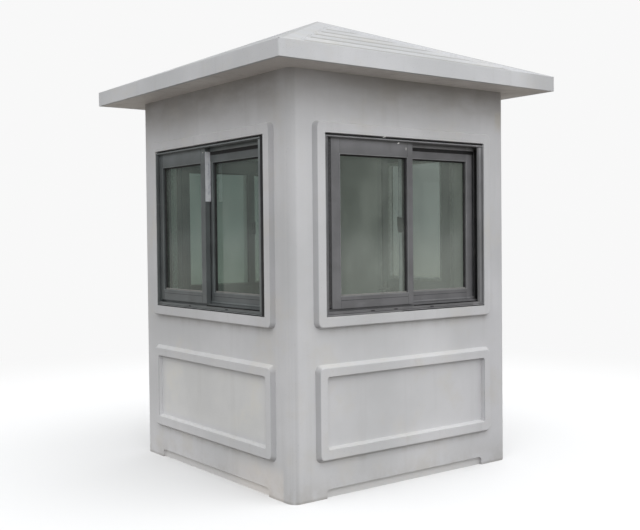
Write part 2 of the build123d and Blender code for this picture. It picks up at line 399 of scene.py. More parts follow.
# ------------------------------------------------------------------ materials
def wall_material(name, base, roof=False):
    m = Mat(name)
    P = m.pos()
    x, y, z = m.split(P)
    nx, ny, nz = m.split(m.normal())
    cloud = m.noise(1.15, 4.0, 0.55)
    mid = m.noise(4.5, 5.0, 0.6, vec=m.scaled(P, (1, 1, 1), (3.1, 7.7, 1.3)))
    fine = m.noise(60.0, 3.0, 0.6)
    streak = m.noise(1.0, 4.0, 0.6, vec=m.scaled(P, (13.0, 13.0, 0.9), (5.0, 2.0, 0.0)))
    light = tuple(min(1.0, c * 1.06) for c in base)
    dark = (base[0] * 0.90, base[1] * 0.905, base[2] * 0.90)
    c = m.mix(m.rng(cloud, 0.34, 0.66), dark, light)
    # beige weathering patches
    beige = (base[0] * 0.98, base[1] * 0.945, base[2] * 0.86)
    c = m.mix(m.mul(m.rng(mid, 0.50, 0.72), 0.42), c, beige)
    # run-down streaks
    c = m.mix(m.mul(m.rng(streak, 0.52, 0.74), 0.17), c, (base[0] * 0.70, base[1] * 0.69, base[2] * 0.665))
    # pin specks
    speck = m.noise(240.0, 1.0, 0.5)
    c = m.mix(m.mul(m.rng(speck, 0.69, 0.76), 0.35), c, (0.16, 0.145, 0.125))
    if not roof:
        # splash dirt near the foot
        deep = m.math("MAXIMUM", m.math("ABSOLUTE", x), m.math("ABSOLUTE", y))
        shown = m.rng(deep, WALL_F - 0.014, WALL_F - 0.002, 0.15, 1.0)
        foot = m.mul(m.rng(z, 0.0, 0.16, 1.0, 0.0), shown)
        foot_n = m.noise(9.0, 5.0, 0.65)
        c = m.mix(m.mul(foot, m.rng(foot_n, 0.36, 0.64), 0.34), c, (0.36, 0.335, 0.30))
        c = m.mix(m.mul(m.rng(z, 0.0, 0.018, 1.0, 0.0), shown, 0.45), c, (0.25, 0.23, 0.205))
        least = m.math("MINIMUM", m.math("ABSOLUTE", x), m.math("ABSOLUTE", y))
        post = m.rng(least, 0.66, 0.68, 1.0, 0.0)
        # painted light: the recessed band at the foot made paler
        inset = m.mul(m.rng(shown, 0.2, 0.6, 0.85, 0.0), m.rng(z, 0.044, 0.048, 1.0, 0.0), post)
        c = m.mix(inset, c, (base[0] * 1.10, base[1] * 1.09, base[2] * 1.06))
        # painted shade on the side slopes of the mouldings that face between -x and -y
        moulding_slope_shade = m.mul(m.rng(m.math("MULTIPLY", nx, -1.0), 0.18, 0.50), m.rng(m.math("MULTIPLY", ny, -1.0), 0.18, 0.50), post)
        c = m.mix(m.mul(moulding_slope_shade, 0.95), c, m.mix(1.0, c, (0.70, 0.70, 0.71), "MULTIPLY"))
        # painted shade: the rounded front-left corner darker where it faces between -x and -y
        corner_bend_shade = m.mul(m.rng(m.math("MULTIPLY", nx, -1.0), 0.05, 0.40), m.rng(m.math("MULTIPLY", ny, -1.0), 0.05, 0.40), m.sub(1.0, post))
        c = m.mix(corner_bend_shade, c, m.mix(1.0, c, (0.90, 0.90, 0.90), "MULTIPLY"))
        # painted light and shade: paler inside the left panel, on the lower left wall and at the left foot near the
        # corner, darker low on the front wall
        on_left = m.rng(x, -0.732, -0.728, 1.0, 0.0)
        inner = m.mul(m.rng(m.math("ABSOLUTE", y), 0.50, 0.56, 1.0, 0.0), m.band(z, 0.245, 0.30, 0.55, 0.60))
        c = m.mix(m.mul(on_left, inner, m.rng(mid, 0.3, 0.7, 0.6, 1.0)), c, m.mix(1.0, c, (1.14, 1.135, 1.10), "MULTIPLY"))
        c = m.mix(m.mul(on_left, m.rng(z, 0.55, 0.85, 1.0, 0.0)), c, m.mix(1.0, c, (1.07, 1.07, 1.07), "MULTIPLY"))
        on_front = m.rng(y, -0.728, -0.732)
        c = m.mix(m.mul(on_front, m.rng(z, 0.75, 1.05, 1.0, 0.0)), c, m.mix(1.0, c, (0.955, 0.955, 0.955), "MULTIPLY"))
        # painted light: the foot of the left wall near the corner paler
        near_foot = m.mul(m.rng(z, 0.10, 0.19, 1.0, 0.0), m.rng(y, -0.05, -0.45), on_left, post)
        c = m.mix(near_foot, c, m.mix(1.0, c, (1.17, 1.13, 1.09), "MULTIPLY"))
        # duller towards the far end of the front wall
        c = m.mix(m.mul(m.rng(x, 0.15, 0.72), m.rng(y, -0.70, -0.74), m.rng(z, 1.1, 1.6, 1.0, 0.4)), c, m.mix(1.0, c, (0.91, 0.91, 0.92), "MULTIPLY"))
        # painted shade under the eaves, mixed with dust
        under_eave_shade_and_dust = m.rng(z, 1.80, 2.075)
        near = m.math("MAXIMUM", m.rng(x, -0.75, 0.10, 0.40, 1.0), m.rng(y, -0.742, -0.60))
        drift = m.noise(1.0, 4.0, 0.6, vec=m.scaled(P, (2.6, 2.6, 6.5), (1.0, 4.0, 2.0)))
        c = m.mix(m.mul(under_eave_shade_and_dust, near, m.rng(drift, 0.32, 0.66, 0.46, 1.0), 0.74), c, (0.325, 0.305, 0.28))
        # yellowed patch high on the front wall
        stain = m.mul(m.band(x, 0.655, 0.685, 0.705, 0.735), m.band(z, 1.84, 1.90, 1.94, 1.985), m.rng(y, -0.70, -0.74))
        c = m.mix(m.mul(stain, m.rng(mid, 0.3, 0.6, 0.4, 1.0), 0.6), c, (0.52, 0.475, 0.36))
        # painted shadow under the surround and the lower panel, broken up by streak dirt
        for zz, hgt in ((0.834, 0.055), (0.180, 0.035)):
            under = m.mul(m.band(z, zz - hgt, zz - 0.002, zz - 0.001, zz + 0.001), m.rng(least, 0.575, 0.605, 1.0, 0.0), m.rng(x, 0.69, 0.71, 1.0, 0.0))
            c = m.mix(m.mul(under, m.rng(streak, 0.35, 0.7, 0.25, 0.9), 0.38), c, (0.36, 0.345, 0.315))
    # dust lying on ledges
    ledge = m.rng(nz, 0.35, 0.8)
    if roof:
        c = m.mix(m.mul(ledge, m.rng(mid, 0.42, 0.68), 0.12), c, (0.50, 0.485, 0.45))
        upright = m.rng(m.math("ABSOLUTE", nz), 0.1, 0.5, 1.0, 0.0)
        on_eave = m.mul(upright, m.rng(z, EAVE_Z + 0.002, EAVE_Z + 0.006, 1.0, 0.0))
        # painted light: the upright fascia faces made paler than the slopes
        c = m.mix(m.mul(on_eave, 0.9), c, m.mix(1.0, c, (1.16, 1.16, 1.165), "MULTIPLY"))
        # painted shade: the fascia darker towards its +x end
        c = m.mix(m.mul(on_eave, m.rng(x, 0.60, 0.86), 0.42), c, (0.34, 0.34, 0.335))
        # painted shade at the foot of each riser, dirt on the treads; treads painted darker and risers paler; painted
        # shade along the hips
        ax, ay = m.math("ABSOLUTE", x), m.math("ABSOLUTE", y)
        far_in = m.sub(EAVE_HALF, m.math("MAXIMUM", ax, ay))
        above = m.sub(z, m.add(m.mul(far_in, ROOF_SLOPE), EAVE_Z))
        on_slope = m.rng(z, EAVE_Z + 0.004, EAVE_Z + 0.010)
        riser_foot_shade = m.mul(on_slope, upright, m.rng(above, -0.0175, -0.0105, 1.0, 0.0))
        c = m.mix(m.mul(riser_foot_shade, 0.60), c, (0.27, 0.26, 0.235))
        tread = m.mul(on_slope, m.rng(above, -0.0135, -0.0165), m.rng(nz, 0.6, 0.9))
        c = m.mix(m.mul(tread, 0.50), c, (0.33, 0.315, 0.28))
        across = m.math("ABSOLUTE", m.sub(ax, ay))
        # painted shade on the treads and hips, painted light on the risers
        c = m.mix(m.mul(on_slope, m.sub(1.0, upright)), c, m.mix(1.0, c, (0.82, 0.82, 0.82), "MULTIPLY"))
        c = m.mix(m.mul(on_slope, upright), c, m.mix(1.0, c, (1.24, 1.24, 1.24), "MULTIPLY"))
        c = m.mix(m.mul(on_slope, m.rng(across, 0.010, 0.026, 0.6, 0.0)), c, (0.36, 0.36, 0.355))
    else:
        c = m.mix(m.mul(ledge, m.rng(mid, 0.30, 0.60, 0.3, 0.9), 0.30), c, (0.52, 0.50, 0.46))
        # the room side stays clean, and is painted paler to stand in for more light inside
        inx = m.rng(m.math("ABSOLUTE", x), WALL_IN + 0.002, WALL_IN + 0.006, 1.0, 0.0, smooth=False)
        iny = m.rng(m.math("ABSOLUTE", y), WALL_IN + 0.002, WALL_IN + 0.006, 1.0, 0.0, smooth=False)
        room = m.mix(m.rng(mid, 0.3, 0.7), (0.86, 0.865, 0.84), (0.90, 0.905, 0.88))
        c = m.mix(m.mul(inx, iny), c, room)
    rough = m.add(m.mul(mid, 0.16), m.rng(streak, 0.4, 0.8, 0.44, 0.54))
    wav = m.noise(3.2, 2.0, 0.5, vec=m.scaled(P, (1, 1, 1), (9.0, 1.0, 4.0)))
    nrm = m.bump(wav, 0.35, 0.012)
    nrm = m.bump(m.noise(150.0, 2.0, 0.5), 0.12, 0.0006, nrm)
    return m.done(m.principled(c, rough, nrm, spec=0.42))


def soffit_material():
    m = Mat("soffit_composite")
    P = m.pos()
    a = m.noise(2.2, 5.0, 0.6)
    b = m.noise(11.0, 4.0, 0.6)
    # painted light: the brownish tint stands in for light bounced up from brown ground
    c = m.mix(m.rng(a, 0.35, 0.65), (0.69, 0.655, 0.625), (0.80, 0.765, 0.73))
    c = m.mix(m.mul(m.rng(b, 0.5, 0.75), 0.30), c, (0.36, 0.33, 0.295))
    c = m.mix(m.mul(m.rng(m.noise(210.0, 1.0), 0.68, 0.76), 0.4), c, (0.12, 0.11, 0.10))
    rough = m.add(m.mul(b, 0.2), 0.5)
    return m.done(m.principled(c, rough, m.bump(m.noise(70.0, 3.0), 0.2, 0.001), spec=0.35))


def metal_material(name, base, spread=0.10, rough0=0.36):
    m = Mat(name)
    P = m.pos()
    nx, ny, nz = m.split(m.normal())
    n1 = m.noise(7.0, 4.0, 0.55)
    n2 = m.noise(420.0, 2.0, 0.5)
    c = m.mix(m.rng(n1, 0.35, 0.65), tuple(b * (1 - spread) for b in base), tuple(b * (1 + spread) for b in base))
    c = m.mix(m.mul(m.rng(n2, 0.55, 0.75), 0.22), c, tuple(b * 1.5 for b in base))
    # painted light and shade: the top rails paler towards the head to offset their shade, the head above them paler,
    # two stiles of the front window paler, the far jamb of the left window darker, and the left window darker and
    # greener
    x, y, z = m.split(P)
    c = m.mix(m.mul(m.band(z, 1.685, 1.757, 1.7595, 1.7610), 0.9), c, m.mix(1.0, c, (1.42, 1.42, 1.42), "MULTIPLY"))
    c = m.mix(m.rng(z, 1.7600, 1.7610), c, m.mix(1.0, c, (1.22, 1.22, 1.22), "MULTIPLY"))
    c = m.mix(m.mul(m.band(x, -0.508, -0.506, -0.452, -0.450), m.rng(y, -0.65, -0.66)), c, m.mix(1.0, c, (1.12, 1.12, 1.12), "MULTIPLY"))
    c = m.mix(m.mul(m.band(x, 0.464, 0.472, 0.508, 0.512), m.rng(y, -0.65, -0.66)), c, m.mix(1.0, c, (1.34, 1.33, 1.33), "MULTIPLY"))
    c = m.mix(m.mul(m.rng(y, 0.495, 0.505), m.rng(x, -0.66, -0.64, 1.0, 0.0)), c, m.mix(1.0, c, (0.72, 0.72, 0.72), "MULTIPLY"))
    c = m.mix(m.rng(x, -0.66, -0.64, 0.9, 0.0), c, m.mix(1.0, c, (0.80, 0.90, 0.875), "MULTIPLY"))
    dust = m.mul(m.rng(nz, 0.4, 0.9), m.rng(m.noise(28.0, 4.0, 0.6), 0.32, 0.62, 0.35, 1.0))
    c = m.mix(m.mul(dust, 0.45), c, (0.36, 0.345, 0.315))
    smear = m.noise(1.0, 4.0, 0.6, vec=m.scaled(P, (9.0, 9.0, 26.0)))
    c = m.mix(m.mul(m.rng(smear, 0.55, 0.78), 0.16), c, (0.30, 0.30, 0.295))
    rough = m.add(m.rng(smear, 0.35, 0.75, rough0, rough0 + 0.14), m.mul(n2, 0.06))
    return m.done(m.principled(c, rough, m.bump(n2, 0.10, 0.0003), spec=0.5))


def glass_material():
    """Green float glass with a thin film of dust. Lamps reach what is behind it."""
    m = Mat("green_tinted_glass")
    P = m.pos()
    film = m.noise(1.0, 4.0, 0.6, vec=m.scaled(P, (3.0, 3.0, 1.6), (2.0, 0, 0)))
    tint = m.mix(m.rng(film, 0.3, 0.7), (0.835, 0.915, 0.86), (0.875, 0.94, 0.895))
    tint = m.mix(m.rng(m.split(P)[0], -0.66, -0.64, 1.0, 0.0), tint, m.mix(m.rng(film, 0.3, 0.7), (0.70, 0.915, 0.82), (0.76, 0.95, 0.86)))
    glass = m.n("ShaderNodeBsdfPrincipled")
    m.put(glass.inputs["Base Color"], tint)
    m.put(glass.inputs["Roughness"], 0.0)
    m.put(glass.inputs["IOR"], 1.5)
    m.put(glass.inputs["Transmission Weight"], 1.0)
    lamp = m.n("ShaderNodeBsdfTransparent")
    m.put(lamp.inputs[0], (0.95, 0.985, 0.96))
    path = m.n("ShaderNodeLightPath")
    a = m.n("ShaderNodeMixShader")
    m.put(a.inputs[0], path.outputs["Is Shadow Ray"])
    m.t.links.new(glass.outputs[0], a.inputs[1])
    m.t.links.new(lamp.outputs[0], a.inputs[2])
    veil = m.n("ShaderNodeBsdfDiffuse")
    m.put(veil.inputs[0], (0.56, 0.60, 0.55))
    b = m.n("ShaderNodeMixShader")
    smudge = m.noise(1.0, 5.0, 0.62, vec=m.scaled(P, (5.0, 5.0, 3.0), (0, 4.0, 0)))
    x, y, z = m.split(P)
    low = m.mul(m.rng(z, 1.10, 1.42, 0.070, 0.0), m.rng(x, -0.66, -0.64))
    m.put(b.inputs[0], m.add(m.rng(smudge, 0.36, 0.72, 0.045, 0.115), low))
    m.t.links.new(a.outputs[0], b.inputs[1])
    m.t.links.new(veil.outputs[0], b.inputs[2])
    return m.done(b.outputs[0])


def rubber_material(name="black_rubber", base=(0.013, 0.013, 0.014)):
    m = Mat(name)
    n = m.noise(160.0, 3.0, 0.6)
    c = m.mix(m.rng(n, 0.35, 0.7), base, tuple(b * 2.2 for b in base))
    c = m.mix(m.mul(m.rng(m.noise(14.0, 4.0), 0.5, 0.75), 0.25), c, (0.09, 0.085, 0.08))
    if name == "black_rubber":
        x, y, z = m.split(m.pos())
        c = m.mix(m.rng(z, 0.9915, 0.9935, 0.93, 0.0), c, m.mix(m.rng(n, 0.3, 0.7), (0.20, 0.198, 0.19), (0.29, 0.285, 0.27)))
    return m.done(m.principled(c, m.rng(n, 0.3, 0.7, 0.55, 0.75), m.bump(n, 0.2, 0.0004), spec=0.35))


def steel_material():
    m = Mat("satin_steel")
    P = m.pos()
    b = m.noise(1.0, 3.0, 0.6, vec=m.scaled(P, (40.0, 40.0, 900.0)))
    n = m.noise(30.0, 4.0, 0.6)
    c = m.mix(m.rng(n, 0.35, 0.7), (0.55, 0.54, 0.52), (0.68, 0.67, 0.65))
    c = m.mix(m.mul(m.rng(m.noise(90.0, 4.0), 0.58, 0.75), 0.3), c, (0.38, 0.365, 0.35))
    return m.done(m.principled(c, m.rng(b, 0.3, 0.7, 0.26, 0.42), m.bump(b, 0.08, 0.0002), metallic=1.0))


def floor_material():
    m = Mat("vinyl_floor")
    P = m.pos()
    chips = m.voronoi(95.0)
    n = m.noise(6.0, 4.0, 0.6)
    c = m.mix(m.rng(chips, 0.25, 0.7), (0.30, 0.30, 0.295), (0.42, 0.42, 0.41))
    c = m.mix(m.mul(m.rng(m.noise(260.0, 1.0), 0.6, 0.7), 0.5), c, (0.12, 0.12, 0.12))
    c = m.mix(m.mul(m.rng(n, 0.42, 0.7), 0.4), c, (0.31, 0.29, 0.25))
    return m.done(m.principled(c, m.rng(n, 0.3, 0.7, 0.38, 0.62), m.bump(chips, 0.06, 0.0005), spec=0.4))


def film_material():
    m = Mat("protective_film")
    P = m.pos()
    n = m.noise(60.0, 4.0, 0.6)
    w = m.noise(1.0, 3.0, 0.6, vec=m.scaled(P, (60.0, 60.0, 14.0)))
    c = m.mix(m.rng(n, 0.35, 0.7), (0.80, 0.81, 0.85), (0.90, 0.91, 0.94))
    c = m.mix(m.mul(m.rng(w, 0.5, 0.72), 0.60), c, (0.33, 0.34, 0.45))
    return m.done(m.principled(c, 0.32, m.bump(w, 0.5, 0.001), spec=0.5))


def plastic_material(name, base, rough=0.45):
    m = Mat(name)
    n = m.noise(120.0, 3.0, 0.6)
    c = m.mix(m.rng(n, 0.35, 0.7), tuple(b * 0.8 for b in base), tuple(min(1, b * 1.25) for b in base))
    return m.done(m.principled(c, m.rng(n, 0.3, 0.7, rough - 0.06, rough + 0.1), m.bump(n, 0.15, 0.0004)))


WALL = wall_material("gelcoat_wall", (0.642, 0.642, 0.655))
# painted shade: the roof is a darker copy of the wall's gelcoat, offsetting the stronger light on its upward slopes
ROOF = wall_material("gelcoat_roof", (0.600, 0.604, 0.618), roof=True)
SOFFIT = soffit_material()
METAL = metal_material("charcoal_aluminium", (0.142, 0.142, 0.148))
# painted light: a paler copy of the charcoal aluminium, standing in for the light that lips, beads, fins and ledges
# catch
METAL_LIT = metal_material("charcoal_aluminium_painted_lit", (0.192, 0.193, 0.200), rough0=0.30)
PVC = plastic_material("white_bead", (0.80, 0.81, 0.79), 0.40)
# painted light: a whiter copy of the PVC bead, standing in for the daylight that the door pane's reveal catches
BEAD_LIT = plastic_material("white_bead_painted_lit", (0.92, 0.925, 0.91), 0.30)
CHIP = plastic_material("plaster_chip", (0.78, 0.77, 0.74), 0.70)
GLASS = glass_material()
RUBBER = rubber_material()
SEAL = rubber_material("black_sealant", (0.010, 0.010, 0.011))
STEEL = steel_material()
VINYL = floor_material()
FILM = film_material()
LATCH = plastic_material("black_latch", (0.018, 0.018, 0.018))
SLOT = rubber_material("slot_black", (0.016, 0.016, 0.017))
PILE = rubber_material("wool_pile_grey", (0.036, 0.036, 0.038))

for n, ob in NODES.items():
    if n.endswith("_pane"):
        mat = GLASS
    elif n.endswith("_latch"):
        mat = LATCH
    elif "_window_" in n or n == "door_threshold":
        mat = METAL
    elif n == "door_frame":
        mat = PVC
    elif n == "roof_soffit":
        mat = SOFFIT
    elif n == "roof_shell":
        mat = ROOF
    elif n == "floor_panel":
        mat = VINYL
    elif n.startswith("door_handle") or n.startswith("door_hinge"):
        mat = STEEL
    else:
        mat = WALL
    ob.data.materials.clear()
    ob.data.materials.append(mat)

# ------------------------------------------------------------ window details
for side in ("front", "left", "back"):
    fu0, fu1, fy0, fy1, fz0, fz1 = FRAME[side]
    node = side + "_window_"
    for which in ("outer", "inner"):
        s = local_box(side, node + which + "_sash")
        p = local_box(side, node + which + "_pane")
        rect = (p[0], p[1], p[4], p[5])
        face, back = s[2], s[3]
        # rubber in front of the pane and behind it
        g = Builder(node + which + "_gasket", RUBBER, "latch_grey")
        y0 = p[2]
        g.ring(side, rect, [(0, y0), (0, y0 - 0.006), (0.003, y0 - 0.0072), (0.0055, y0 - 0.0045),
                            (0.0075, y0 - 0.0002), (0.0075, y0)])
        y1 = p[3]
        g.ring(side, rect, [(0, y1), (0.0075, y1), (0.0070, y1 + 0.001), (0.0040, y1 + 0.0028),
                            (0.0, y1 + 0.0032)])
        g.make()
        # lines where the rails butt against the stiles
        j = Builder(node + which + "_joint_lines", SEAL, "latch_grey")
        t = 0.0007
        e = 0.00035
        for u in (p[0], p[1]):
            uu = u - 0.0006 if u == p[0] else u + 0.0006
            for za, zb in ((s[4] + 0.001, p[4] - 0.001), (p[5] + 0.001, s[5] - 0.001)):
                j.block(side, uu - t / 2, uu + t / 2, face - e, face + 0.002, za, zb, 0.0002, 1)
        # groove of the bottom and top rail profile
        for zz in (p[4] - 0.020,):
            j.block(side, p[0] + 0.001, p[1] - 0.001, face - e, face + 0.002, zz - 0.0009, zz + 0.0009, 0.0002, 1)
        j.make()
        # glazing bead: a slim bright edge round the opening, in the painted-lit aluminium
        b = Builder(node + which + "_bead", METAL_LIT, "window_metal")
        b.ring(side, (p[0] - 0.0035, p[1] + 0.0035, p[4] - 0.0035, p[5] + 0.0035),
               [(0, face), (0.0006, face - 0.0007), (0.0032, face - 0.0009), (0.0042, face - 0.0002),
                (0.0046, face + 0.004), (0.0035, face + 0.004), (0.0028, face + 0.0005)])
        b.make()
    # front lip in the painted-lit aluminium, and the groove that parts it from the tube behind it
    fr = Builder(node + "frame_lip", METAL_LIT, "window_metal")
    rect = (fu0, fu1, fz0, fz1)
    fr.ring(side, rect, [(0.0, fy0 + 0.0005), (0.0, fy0 - 0.0020), (0.0008, fy0 - 0.0028), (0.0062, fy0 - 0.0028),
                         (0.0070, fy0 - 0.0020), (0.0070, fy0 + 0.0005)])
    fr.make()
    ln = Builder(node + "frame_groove", SEAL, "latch_grey")
    ln.ring(side, rect, [(0.0074, fy0 + 0.0005), (0.0074, fy0 - 0.0004), (0.0092, fy0 - 0.0004),
                         (0.0092, fy0 + 0.0005)])
    # mitre lines at the corners of the frame are square butt joints
    ln.make()
    # black sealant between the frame and the surround moulding, which also serves as painted shadow in these gaps
    sl = Builder(node + "sealant", SEAL, "latch_grey")
    su0, su1, sz0, sz1 = SUR
    yb = -WALL_F
    sl.block(side, su0, su1, fy0 + 0.0075, yb, fz1, sz1, 0.002, 3)
    if side == "left":
        sl.block(side, fu1 - 0.0230, su1, fy0 - 0.0034, fy0 + 0.004, fz0 + 0.002, fz1 + 0.001, 0.0012, 2)
        sl.block(side, fu0 + 0.002, fu1, fy0 - 0.0032, fy0 + 0.002, fz0 - 0.0012, fz0 + 0.0040, 0.0006, 2)
    else:
        sl.block(side, -0.060, fu1 - 0.001, fy0 - 0.0032, fy0 + 0.002, fz0 - 0.0012, fz0 + 0.0036, 0.0006, 2)
    sl.make()
    # black wool pile that closes the gaps beside the sashes, also painted shadow that darkens these gaps
    pile = Builder(node + "jamb_pile_and_shadow", SLOT, "latch_grey")
    so = local_box(side, node + "outer_sash")
    si = local_box(side, node + "inner_sash")
    jz0, jz1 = fz0 + 0.022, fz1 - 0.022
    pile.block(side, so[0] - 0.0016, so[0] + 0.0004, so[2] + 0.006, so[3] - 0.004, so[4] + 0.004, so[5] - 0.004, 0.0006, 2)
    pile.block(side, so[0] - 0.0046, so[0] - 0.0014, so[2] + 0.016, so[2] + 0.020, so[4] + 0.004, so[5] - 0.004, 0.0006, 2)
    pile.block(side, si[1] - 0.0004, si[1] + 0.0040, si[2] + 0.006, si[3] - 0.004, si[4] + 0.004, si[5] - 0.004, 0.0006, 2)
    pile.block(side, fu1 - 0.0115, fu1 - 0.0075, fy0 + 0.0125, fy0 + 0.0445, jz0, jz1, 0.0008, 2)
    pile.block(side, fu1 - 0.0275, fu1 - 0.0085, fy0 + 0.0405, fy0 + 0.0447, jz0, jz1, 0.0008, 2)
    pile.block(side, fu0 + 0.0075, fu0 + 0.0115, fy0 + 0.0480, fy0 + 0.0790, fz0 + 0.042, fz1 - 0.036, 0.0008, 2)
    pile.make()
    # grey brush strip between the jamb fin and the outer sash, toned as painted shade for the gap
    br = Builder(node + "jamb_brush_and_shade", PILE, "latch_grey")
    br.block(side, fu0 + 0.0224, so[0] - 0.0006, fy0 + 0.0150, fy0 + 0.0190, so[4] + 0.004, so[5] - 0.006, 0.0010, 2)
    br.make()
    # fin at the jamb, in the painted-lit aluminium
    lj = Builder(node + "jamb_fin", METAL_LIT, "window_metal")
    lj.block(side, fu0 + 0.0188, fu0 + 0.0222, fy0 + 0.0124, fy0 + 0.0148, fz0 + 0.022, fz1 - 0.011, 0.0005, 2)
    lj.make()
    # slim inner bead of the front lip at the jamb, in the painted-lit aluminium
    jb = Builder(node + "jamb_bead", METAL_LIT, "window_metal")
    if side == "left":
        jb.block(side, fu1 - 0.0410, fu1 - 0.0240, fy0 - 0.0026, fy0 + 0.0116, fz0 + 0.0212, fz1 - 0.0102, 0.0016, 3)
    else:
        jb.block(side, fu1 - 0.0400, fu1 - 0.0150, fy0 + 0.0006, fy0 + 0.0116, fz0 + 0.0212, fz1 - 0.0102, 0.0016, 3)
    jb.make()
    jl = Builder(node + "jamb_lines_and_shadow_strips", SEAL, "latch_grey")
    if side != "left":
        jl.block(side, fu1 - 0.0362, fu1 - 0.0342, fy0 + 0.0001, fy0 + 0.0012, fz0 + 0.0215, fz1 - 0.0105, 0.0003, 1)
        jl.block(side, fu0 + 0.0075, fu0 + 0.0100, fy0 - 0.0004, fy0 + 0.0012, fz0 + 0.0215, fz1 - 0.0105, 0.0003, 1)
    # painted shadow and highlight: black strips in the shaded gaps of the tracks above and below the inner sash, bright
    # strips on the track lips
    jl.block(side, so[1] + 0.002, fu1 - 0.041, fy0 + 0.0122, fy0 + 0.0142, fz0 + 0.0190, fz0 + 0.0275, 0.0003, 1)
    jl.block(side, so[1] + 0.002, fu1 - 0.024, fy0 + 0.0470, fy0 + 0.0492, si[5] - 0.026, si[5] - 0.0082, 0.0003, 1)
    jl.make()
    # painted highlight: bright strips on the track lips
    tl = Builder(node + "track_lip_highlight", METAL_LIT, "window_metal")
    tl.block(side, so[1] + 0.002, fu1 - 0.030, fy0 + 0.0430, fy0 + 0.0455, fz0 + 0.0385, fz0 + 0.0470, 0.0008, 2)
    tl.block(side, so[1] + 0.002, fu1 - 0.030, fy0 + 0.0430, fy0 + 0.0455, si[5] - 0.0080, si[5] + 0.0100, 0.0008, 2)
    tl.make()
    # drain slots in the sill, drawn as black marks: painted shadow for the holes
    dr = Builder(node + "drain_slots_painted_shadow", SLOT, "latch_grey")
    spots = {"front": (0.154, -0.102, -0.257), "left": (-0.181, 0.20), "back": (0.16, -0.18)}[side]
    for u in spots:
        dr.slab(side, pill(u, fz0 + 0.0145, 0.013, 0.0028), fy0 - 0.0004, fy0 + 0.001, 0.0003)
    dr.make()

# ------------------------------------------- film left on the sashes, plaster chips
s = local_box("front", "front_window_inner_sash")
fl = Builder("front_window_film_strip", FILM, "latch_grey")
fl.block("front", s[0] - 0.0008, s[0], s[2] + 0.002, s[3] - 0.002, s[4] + 0.006, 1.296, 0.0003, 1)
fl.block("front", s[0] - 0.0008, s[0], s[2] + 0.002, s[3] - 0.002, 1.376, s[5] - 0.006, 0.0003, 1)
fl.make()
ch = Builder("plaster_chips", CHIP, "wall_composite")
dl = FRAME["front"][2]
for side, u, z, a, b, y in (("front", -0.174, 1.7795, 0.013, 0.0030, dl - 0.0040), ("front", -0.165, 1.7835, 0.005, 0.0022, dl - 0.0036),
                            ("front", -0.079, 1.7525, 0.009, 0.0028, dl - 0.0036), ("front", -0.011, 1.7280, 0.0022, 0.0075, dl + 0.0125),
                            ("left", -0.045, 1.7390, 0.0045, 0.0030, dl + 0.0125)):
    pts = [(u + a * math.cos(k * math.pi / 5) * (0.8 + 0.2 * math.sin(3.1 * k)), z + b * math.sin(k * math.pi / 5) + 0.3 * a * math.cos(k * math.pi / 5) * (a > b)) for k in range(10)]
    ch.slab(side, pts, y, y + 0.0025, 0.0005)
ch.make()
s = local_box("left", "left_window_outer_sash")
fl = Builder("left_window_film_strip", FILM, "latch_grey")
fl.block("left", s[1], s[1] + 0.0008, s[2] + 0.001, s[3] + 0.0065, 1.475, 1.742, 0.0003, 1)
fl.make()

# --------------------------------------------------------------- door details
L = local_box("right", "door_leaf")
D = local_box("right", "door_pane")
LEAF_F, LEAF_B = L[2], L[3]             # outer and room side of the leaf
pr = (D[0], D[1], D[4], D[5])
g = Builder("door_pane_gasket", RUBBER, "latch_grey", "door")
g.ring("right", pr, [(0, D[2]), (0, D[2] - 0.007), (0.003, D[2] - 0.0082), (0.006, D[2] - 0.0050), (0.008, D[2] - 0.0002), (0.008, D[2])])
g.make()
# room-side bead round the door pane, in the painted-lit white
b = Builder("door_pane_bead", BEAD_LIT, "wall_composite", "door")
b.ring("right", pr, [(0.0, D[3] + 0.0002), (0.007, D[3] + 0.0002), (0.007, D[3] + 0.003), (0.002, LEAF_B - 0.001), (-0.001, LEAF_B + 0.0012),
                     (-0.012, LEAF_B + 0.0012), (-0.0135, LEAF_B - 0.0004), (0.0, LEAF_B - 0.0004)])
b.make()
t = Builder("door_pane_trim", PVC, "wall_composite", "door")
t.ring("right", pr, [(0.0, LEAF_F - 0.0003), (0.004, LEAF_F + 0.004), (0.004, LEAF_F - 0.003), (0.001, LEAF_F - 0.006), (-0.014, LEAF_F - 0.006),
                     (-0.018, LEAF_F - 0.003), (-0.018, LEAF_F + 0.0004), (0.0, LEAF_F + 0.0004)], r=0.0)
t.make()
k = Builder("door_lower_moulding", WALL, "wall_composite", "door")
for yy, sg in ((LEAF_F, -1.0), (LEAF_B, 1.0)):
    k.ring("right", (L[0] + 0.070, L[1] - 0.092, L[4] + 0.130, 0.815),
           [(0.0, yy - sg * 0.0005), (0.0, yy + sg * 0.003), (0.006, yy + sg * 0.009), (0.016, yy + sg * 0.010),
            (0.034, yy + sg * 0.010), (0.042, yy + sg * 0.008), (0.050, yy + sg * 0.002), (0.050, yy - sg * 0.0005)], r=0.024, seg=8)
k.make()
# kick plate of brushed steel along the foot of the leaf
kp = Builder("door_kick_plate", STEEL, "steel", "door")
kp.block("right", L[0] + 0.010, L[1] - 0.010, LEAF_F - 0.0015, LEAF_F + 0.0005, L[4] + 0.008, L[4] + 0.100, 0.0006, 2)
for i in range(6):
    uu = L[0] + 0.025 + i * (L[1] - L[0] - 0.05) / 5
    for zz in (L[4] + 0.018, L[4] + 0.090):
        kp.disc("right", uu, zz, 0.0036, LEAF_F - 0.0030, LEAF_F - 0.0010, 14)
kp.make()
# lock cylinder under the lever, on both sides
H = local_box("right", "door_handle_outer")
hu = 0.224
cy = Builder("door_lock_cylinder", STEEL, "steel", "door")
